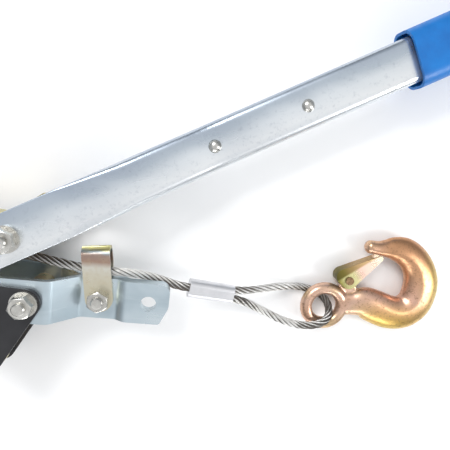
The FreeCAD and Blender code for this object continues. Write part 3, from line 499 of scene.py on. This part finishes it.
# Painted shade: the colour runs in bands up the clip, cream and straw below and a darker brown band towards
# its upper edge. The pink, blue-grey and yellow tints there are the passivation film.
height = levels(nodes, links, split.outputs["Y"], -0.012, 0.036, 0, 1)
wander = nodes.new("ShaderNodeMath")
wander.operation = "MULTIPLY_ADD"
wander.inputs[1].default_value = 0.07
links.new(noise(nodes, links, where, 90, 3), wander.inputs[0])
links.new(height, wander.inputs[2])
hue = ramp(nodes, links, wander.outputs[0],
           [(0.0, (0.58, 0.55, 0.45)), (0.35, (0.62, 0.58, 0.44)), (0.62, (0.66, 0.62, 0.50)),
            (0.74, (0.70, 0.68, 0.60)), (0.83, (0.40, 0.27, 0.21)), (0.92, (0.38, 0.28, 0.24)),
            (0.965, (0.36, 0.42, 0.44)), (1.0, (0.55, 0.50, 0.22))])
stain = levels(nodes, links, noise(nodes, links, where, 300), 0.45, 0.75, 0, 0.35)
links.new(mix(nodes, links, stain, hue, (0.56, 0.46, 0.30)), shader.inputs["Base Color"])
shader.inputs["Metallic"].default_value = 0.9
rub = noise(nodes, links, where, 200)
links.new(levels(nodes, links, rub, 0.3, 0.7, 0.26, 0.4), shader.inputs["Roughness"])
bumps(nodes, links, shader, [(noise(nodes, links, where, 1500, 3), 0.15)], 0.0001)
dress(strap, "rope_clip")
dress(yellow, "drum_barrel", "ratchet_gear_near", "ratchet_gear_far", "hold_pawl", "drive_pawl",
      "front_spacer")

# --- Springs -----------------------------------------------------------------------------------
# Torsion coils of oil-hardened wire, left dark. Two turn the pawls onto the gears, and one in each
# hook holds its latch shut.

spring_wire, nodes, links, shader, where = new_material("spring_wire")
links.new(ramp(nodes, links, noise(nodes, links, where, 500),
               [(0.3, (0.16, 0.155, 0.15)), (0.7, (0.34, 0.33, 0.32))]), shader.inputs["Base Color"])
shader.inputs["Metallic"].default_value = 0.9
shader.inputs["Roughness"].default_value = 0.38
bumps(nodes, links, shader, [(noise(nodes, links, where, 1600), 0.2)], 0.00008)
dress(spring_wire, "hold_pawl_spring", "drive_pawl_spring", "rope_latch_spring", "rear_latch_spring")

# --- Lever and grip ----------------------------------------------------------------------------
# Two pressed halves of 2.5 mm sheet riveted into a box and bright zinc plated, with cloudy patches and a
# painted reflection across the lever, pale towards one long edge and dark blue-grey towards the other. The
# grip is a dipped blue rubber sleeve.

lever_angle, half_lever = 30.35, 0.0149
lever_zinc, nodes, links, shader, where = new_material("lever_zinc")
patch = noise(nodes, links, where, 17, 3, 0.5, (0.55, 1.7, 1), -30)
grain = noise(nodes, links, where, 330, 6, 0.7)
lie = nodes.new("ShaderNodeVectorRotate")
lie.rotation_type = "Z_AXIS"
lie.inputs["Center"].default_value = (drum_x / 1000, 0, 0)
lie.inputs["Angle"].default_value = math.radians(-lever_angle)
links.new(where, lie.inputs["Vector"])
split = nodes.new("ShaderNodeSeparateXYZ")
links.new(lie.outputs["Vector"], split.inputs["Vector"])
# Painted reflection: the colour runs across the lever's width, pale towards one edge and darker blue-grey
# towards the other, mixed with cloudy patches.
across = levels(nodes, links, split.outputs["Y"], -half_lever, half_lever, 0, 1)
painted_sheen_and_patches = nodes.new("ShaderNodeMath")
painted_sheen_and_patches.operation = "MULTIPLY_ADD"
painted_sheen_and_patches.inputs[1].default_value = 0.55
links.new(patch, painted_sheen_and_patches.inputs[0])
links.new(across, painted_sheen_and_patches.inputs[2])
tone = ramp(nodes, links, levels(nodes, links, painted_sheen_and_patches.outputs[0], 0.1, 1.45, 0, 1),
            [(0.10, (0.66, 0.70, 0.73)), (0.30, (0.84, 0.86, 0.87)), (0.50, (0.74, 0.78, 0.81)),
             (0.68, (0.50, 0.56, 0.62)), (0.86, (0.42, 0.48, 0.56)), (0.97, (0.62, 0.66, 0.70))])
links.new(mix(nodes, links, levels(nodes, links, grain, 0.54, 0.72, 0, 0.32), tone, (0.30, 0.34, 0.40)),
          shader.inputs["Base Color"])
shader.inputs["Metallic"].default_value = 0.88
links.new(levels(nodes, links, patch, 0.3, 0.7, 0.38, 0.22), shader.inputs["Roughness"])
bumps(nodes, links, shader, [(grain, 0.10), (noise(nodes, links, where, 1600, 3), 0.08)], 0.0001)
dress(lever_zinc, "handle_half_near", "handle_half_far")

rubber, nodes, links, shader, where = new_material("blue_grip_rubber")
links.new(ramp(nodes, links, noise(nodes, links, where, 60),
               [(0.3, (0.0, 0.115, 0.40)), (0.7, (0.0, 0.165, 0.52))]), shader.inputs["Base Color"])
sheen = noise(nodes, links, where, 200)
links.new(levels(nodes, links, sheen, 0.3, 0.7, 0.34, 0.5), shader.inputs["Roughness"])
bumps(nodes, links, shader, [(noise(nodes, links, where, 1300, 4), 0.3)], 0.00012)
dress(rubber, "grip")

# --- Sleeve ------------------------------------------------------------------------------------
# A soft aluminium tube pressed oval over both legs of the rope, with the die's faint flats.

soft_aluminium, nodes, links, shader, where = new_material("pressed_aluminium")
cloud = noise(nodes, links, where, 90, 4)
links.new(ramp(nodes, links, cloud, [(0.3, (0.62, 0.62, 0.64)), (0.7, (0.78, 0.78, 0.80))]),
          shader.inputs["Base Color"])
shader.inputs["Metallic"].default_value = 0.9
links.new(levels(nodes, links, cloud, 0.3, 0.7, 0.42, 0.3), shader.inputs["Roughness"])
bumps(nodes, links, shader, [(noise(nodes, links, where, 800, 4), 0.2)], 0.00015)
dress(soft_aluminium, "rope_ferrule")

# --- Hooks -------------------------------------------------------------------------------------
# Drop forgings: an eye, a bowl with a parting ridge nearer its inner side, and a lug for the latch.
# Yellow passivated over a grainy skin, so gold runs to pink, orange and green with brown specks.

spine = [  # x, y from the eye's middle, half width in the hook's plane, half thickness
    (13, 2.2, 9.5, 4.6), (22.5, 4.0, 9.9, 6.4), (32.5, 5.4, 12.8, 8.2), (43.5, 2.2, 13.8, 9.2),
    (53, -0.7, 13.9, 9.8), (61, -1.2, 13.9, 10.0), (69, 1.4, 14.3, 10.0), (75, 8.0, 14.6, 10.0),
    (77.3, 17, 14.5, 10.0), (76.9, 26.8, 14.1, 10.0), (73, 37, 12.8, 9.6), (65.8, 45.6, 11.8, 9.0),
    (57.2, 50.6, 11.0, 8.4), (48.8, 52.0, 9.4, 7.4), (41.9, 51.4, 7.2, 6.2), (36, 51.0, 5.7, 5.5),
    (29.8, 51.4, 5.2, 5.2)]
eye_radius, eye_wire, pin_place, pin_radius, lug_half = 14.5, 4.7, (15.4, 23.4), 2.2, 1.3
ridge = -0.22


def smooth_between(rows, at):
    """Rows of numbers read at a fraction of their count, on a Catmull-Rom curve."""
    place = at * (len(rows) - 1)
    k = min(int(place), len(rows) - 2)
    t = place - k
    a, b, c, d = (rows[min(max(k + step, 0), len(rows) - 1)] for step in (-1, 0, 1, 2))
    return [0.5 * (2 * q + (r - p) * t + (2 * p - 5 * q + 4 * r - u) * t * t
                   + (3 * q - p - 3 * r + u) * t ** 3)
            for p, q, r, u in zip(a, b, c, d)]


def forged_section(around):
    """The bar's section: (across, up) as shares of its half sizes, creased along the parting ridge."""
    side = 1 if around < 0.5 else -1
    t = (around * 2) % 1
    if side < 0:
        t = 1 - t
    across = -math.cos(math.pi * t)
    reach = (ridge - across) / (ridge + 1) if across < ridge else (across - ridge) / (1 - ridge)
    fall = 2.0 if across < ridge else 2.3
    up = (1 - reach ** fall) ** (1 / 1.75) * (1 - (0.16 if across < ridge else 0.10) * reach)
    return across, side * up


def lofted(rings, closed_ends=True):
    """Vertices and faces of a skin over rings with the same number of points."""
    count = len(rings[0])
    vertices = [p for ring in rings for p in ring]
    faces = []
    for r in range(len(rings) - 1):
        for k in range(count):
            one, two = r * count + k, r * count + (k + 1) % count
            faces.append((one, two, two + count, one + count))
    if closed_ends:
        faces.append(tuple(range(count))[::-1])
        faces.append(tuple(range((len(rings) - 1) * count, len(rings) * count)))
    else:
        for k in range(count):
            one, two = (len(rings) - 1) * count + k, (len(rings) - 1) * count + (k + 1) % count
            faces.append((one, two, (k + 1) % count, k))
    return vertices, faces


def solid_object(name, parts_of_it):
    """One object from several closed skins, each a (vertices, faces) pair in millimetres."""
    vertices, faces = [], []
    for some, some_faces in parts_of_it:
        faces += [tuple(i + len(vertices) for i in face) for face in some_faces]
        vertices += [(x / 1000, y / 1000, z / 1000) for x, y, z in some]
    mesh = bpy.data.meshes.new(name)
    mesh.from_pydata(vertices, [], faces)
    shell = bmesh.new()
    shell.from_mesh(mesh)
    bmesh.ops.recalc_face_normals(shell, faces=shell.faces)
    shell.to_mesh(mesh)
    shell.free()
    piece = bpy.data.objects.new(name, mesh)
    bpy.context.scene.collection.objects.link(piece)
    return piece


def round_bar(x, y, radius, low, high, sides=48):
    """A plain round bar along Z, as a closed skin."""
    ring = [(x + radius * math.cos(2 * math.pi * k / sides), y + radius * math.sin(2 * math.pi * k / sides))
            for k in range(sides)]
    return lofted([[(px, py, z) for px, py in ring] for z in (low, high)])


def hook_body():
    """The forging in its own plane, its eye's middle at the origin, as one closed skin."""
    rings = []
    stations, around = 110, 56
    for i in range(stations + 1):
        at = i / stations
        x, y, wide, thick = smooth_between(spine, at)
        x2, y2 = smooth_between(spine, min(at + 0.002, 1))[:2]
        x1, y1 = smooth_between(spine, max(at - 0.002, 0))[:2]
        run = math.hypot(x2 - x1, y2 - y1)
        left = (-(y2 - y1) / run, (x2 - x1) / run)
        sharp = min(1, i / 30) * min(1, (stations - i) / 24)
        ring = []
        for k in range(around):
            across, up = forged_section((k + 0.5) / around)
            angle = math.atan2(up, -across)
            across = across * sharp - math.cos(angle) * (1 - sharp)
            up = up * sharp + math.sin(angle) * (1 - sharp)
            ring.append((x - left[0] * across * wide, y - left[1] * across * wide, up * thick))
        rings.append(ring)
    knob, ahead = 5.5, ((x2 - x1) / run, (y2 - y1) / run)
    for degrees in (20, 40, 58, 74, 86):
        a = math.radians(degrees)
        ring = []
        for k in range(around):
            across, up = forged_section((k + 0.5) / around)
            angle = math.atan2(up, -across)
            c, u = -math.cos(angle) * knob * math.cos(a), math.sin(angle) * knob * math.cos(a)
            ring.append((x + ahead[0] * knob * math.sin(a) + left[0] * -c,
                         y + ahead[1] * knob * math.sin(a) + left[1] * -c, u))
        rings.append(ring)
    bar = lofted(rings)
    hoops = []
    for i in range(96):
        a = 2 * math.pi * i / 96
        hoop = []
        for k in range(32):
            b = 2 * math.pi * k / 32
            reach = eye_radius + eye_wire * math.cos(b)
            hoop.append((reach * math.cos(a), reach * math.sin(a), eye_wire * math.sin(b)))
        hoops.append(hoop)
    eye = lofted(hoops, closed_ends=False)
    lug_outline = []
    for (cx, cy, radius), start, end in (((pin_place[0] - 1.5, pin_place[1] - 14, 5), 180, 270),
                                         ((pin_place[0] + 7, pin_place[1] - 14, 5), 270, 375),
                                         ((pin_place[0], pin_place[1], 4.6), 20, 180)):
        for k in range(13):
            a = math.radians(start + (end - start) * k / 12)
            lug_outline.append((cx + radius * math.cos(a), cy + radius * math.sin(a)))
    lug = lofted([[(px, py, z) for px, py in lug_outline] for z in (-lug_half, lug_half)])
    piece = solid_object("hook_body", [bar, eye, lug])
    skin = piece.modifiers.new("one_skin", "REMESH")
    skin.mode, skin.voxel_size = "VOXEL", 0.0008
    soften = piece.modifiers.new("soften", "SMOOTH")
    soften.factor, soften.iterations = 0.5, 2
    seat_radius, past, seat_top, pin_room = 7.4, 15, 13, 0.05
    cutters = [round_bar(*pin_place, pin_radius + pin_room, -past, past),
               round_bar(*pin_place, seat_radius, lug_half, seat_top),
               round_bar(*pin_place, seat_radius, -seat_top, -lug_half)]
    tools = []
    for cutter in cutters:
        tool = solid_object("cutter", [cutter])
        cut = piece.modifiers.new("cut", "BOOLEAN")
        cut.operation, cut.solver, cut.object = "DIFFERENCE", "EXACT", tool
        tools.append(tool)
    bpy.context.view_layer.update()
    mesh = bpy.data.meshes.new_from_object(piece.evaluated_get(bpy.context.evaluated_depsgraph_get()))
    for gone in [piece] + tools:
        bpy.data.objects.remove(gone)
    return mesh


forged, nodes, links, shader, where = new_material("yellow_zinc_forging")
local = nodes.new("ShaderNodeAttribute")
local.attribute_name = "own_place"
where = local.outputs["Vector"]
film = noise(nodes, links, where, 42, 2, 0.5)
speck = noise(nodes, links, where, 420, 5, 0.7)
split = nodes.new("ShaderNodeSeparateXYZ")
links.new(where, split.inputs["Vector"])
down = levels(nodes, links, split.outputs["Y"], -0.018, 0.062, 0, 1)
along = levels(nodes, links, split.outputs["X"], -0.02, 0.092, 0, 1)
ring_tone = ramp(nodes, links, film,
                 [(0.3, (0.60, 0.36, 0.24)), (0.5, (0.72, 0.48, 0.36)), (0.7, (0.56, 0.40, 0.22))])
bowl_tone = ramp(nodes, links, down,
                 [(0.03, (0.58, 0.42, 0.10)), (0.16, (0.72, 0.46, 0.14)), (0.27, (0.74, 0.44, 0.22)),
                  (0.38, (0.76, 0.47, 0.35)), (0.66, (0.64, 0.36, 0.20)), (1.0, (0.52, 0.27, 0.14))])
rim_tone = ramp(nodes, links, film,
                [(0.3, (0.42, 0.38, 0.08)), (0.55, (0.62, 0.46, 0.12)), (0.75, (0.66, 0.40, 0.18))])
hue = mix(nodes, links, levels(nodes, links, along, 0.36, 0.56, 0, 1), ring_tone, bowl_tone)
hue = mix(nodes, links, levels(nodes, links, along, 0.80, 0.97, 0, 0.9), hue, rim_tone)
links.new(mix(nodes, links, levels(nodes, links, speck, 0.52, 0.66, 0, 0.6), hue, (0.22, 0.11, 0.06)),
          shader.inputs["Base Color"])
shader.inputs["Metallic"].default_value = 0.9
links.new(levels(nodes, links, speck, 0.3, 0.7, 0.26, 0.42), shader.inputs["Roughness"])
bumps(nodes, links, shader, [(speck, 0.3), (noise(nodes, links, where, 90, 3), 0.2)], 0.00018)

hook_mesh = hook_body()
for side, (ex, ey, ez), turn in (("rope", (136.2, -2.1, -22.9), 1), ("rear", (-230, 0, 0), -1)):
    mesh = hook_mesh.copy()
    mesh.name = side + "_hook_forging"
    own = mesh.attributes.new("own_place", "FLOAT_VECTOR", "POINT")
    for spot, vertex in zip(own.data, mesh.vertices):
        spot.vector = vertex.co
    for vertex in mesh.vertices:
        x, y, z = vertex.co
        vertex.co = (x * turn + ex / 1000, y * turn + ey / 1000, z + ez / 1000)
    for polygon in mesh.polygons:
        polygon.use_smooth = True
    mesh.materials.append(forged)
    piece = bpy.data.objects.new(mesh.name, mesh)
    bpy.context.scene.collection.objects.link(piece)
    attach(piece, side + "_hook_body")
    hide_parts(side + "_hook")

# --- Latches -----------------------------------------------------------------------------------
# Each is folded from thin sheet on a pin through the hook's lug. The passivation is thinner here:
# pale pink and straw on the cheeks, olive at the heel, with painted shade darkening the heel towards
# the pin and the folded back.

for side, (px, py), turn in (("rope", (151.6, 21.3), 0), ("rear", (-245.4, -23.4), 180)):
    folded, nodes, links, shader, where = new_material(side + "_latch_sheet")
    lie = nodes.new("ShaderNodeVectorRotate")
    lie.rotation_type = "Z_AXIS"
    lie.inputs["Center"].default_value = (px / 1000, py / 1000, 0)
    lie.inputs["Angle"].default_value = math.radians(-38 - turn)
    links.new(where, lie.inputs["Vector"])
    split = nodes.new("ShaderNodeSeparateXYZ")
    links.new(lie.outputs["Vector"], split.inputs["Vector"])
    along = levels(nodes, links, split.outputs["X"], px / 1000 - 0.012, px / 1000 + 0.034, 0, 1)
    across = levels(nodes, links, split.outputs["Y"], py / 1000 - 0.008, py / 1000 + 0.012, 0, 1)
    tint = noise(nodes, links, where, 70, 2, 0.5)
    # Painted shade: the cheek runs to near black at the heel by the pin, and the folded back is a darker
    # copy, over the real pink, straw and olive tints.
    cheek = ramp(nodes, links, along,
                 [(0.0, (0.10, 0.09, 0.02)), (0.12, (0.28, 0.25, 0.07)), (0.2, (0.55, 0.52, 0.24)),
                  (0.38, (0.62, 0.58, 0.30)), (0.5, (0.76, 0.52, 0.44)), (0.85, (0.78, 0.60, 0.50)),
                  (1.0, (0.66, 0.60, 0.36))])
    back = ramp(nodes, links, along,
                [(0.0, (0.05, 0.05, 0.01)), (0.25, (0.16, 0.13, 0.03)), (0.5, (0.40, 0.26, 0.12)),
                 (1.0, (0.60, 0.42, 0.22))])
    hue = mix(nodes, links, levels(nodes, links, across, 0.60, 0.68, 0, 1), cheek, back)
    links.new(mix(nodes, links, levels(nodes, links, tint, 0.45, 0.8, 0, 0.25), hue, (0.60, 0.52, 0.28)),
              shader.inputs["Base Color"])
    shader.inputs["Metallic"].default_value = 0.85
    links.new(levels(nodes, links, tint, 0.3, 0.7, 0.36, 0.24), shader.inputs["Roughness"])
    bumps(nodes, links, shader, [(noise(nodes, links, where, 1500, 3), 0.15)], 0.0001)
    dress(folded, side + "_latch")
rivet_zinc, nodes, links, shader, where = new_material("latch_rivet")
links.new(ramp(nodes, links, noise(nodes, links, where, 400, 4),
               [(0.3, (0.14, 0.08, 0.04)), (0.7, (0.34, 0.22, 0.12))]), shader.inputs["Base Color"])
shader.inputs["Metallic"].default_value = 0.85
shader.inputs["Roughness"].default_value = 0.4
bumps(nodes, links, shader, [(noise(nodes, links, where, 1500, 3), 0.3)], 0.0001)
dress(rivet_zinc, "rope_latch_pin", "rear_latch_pin")
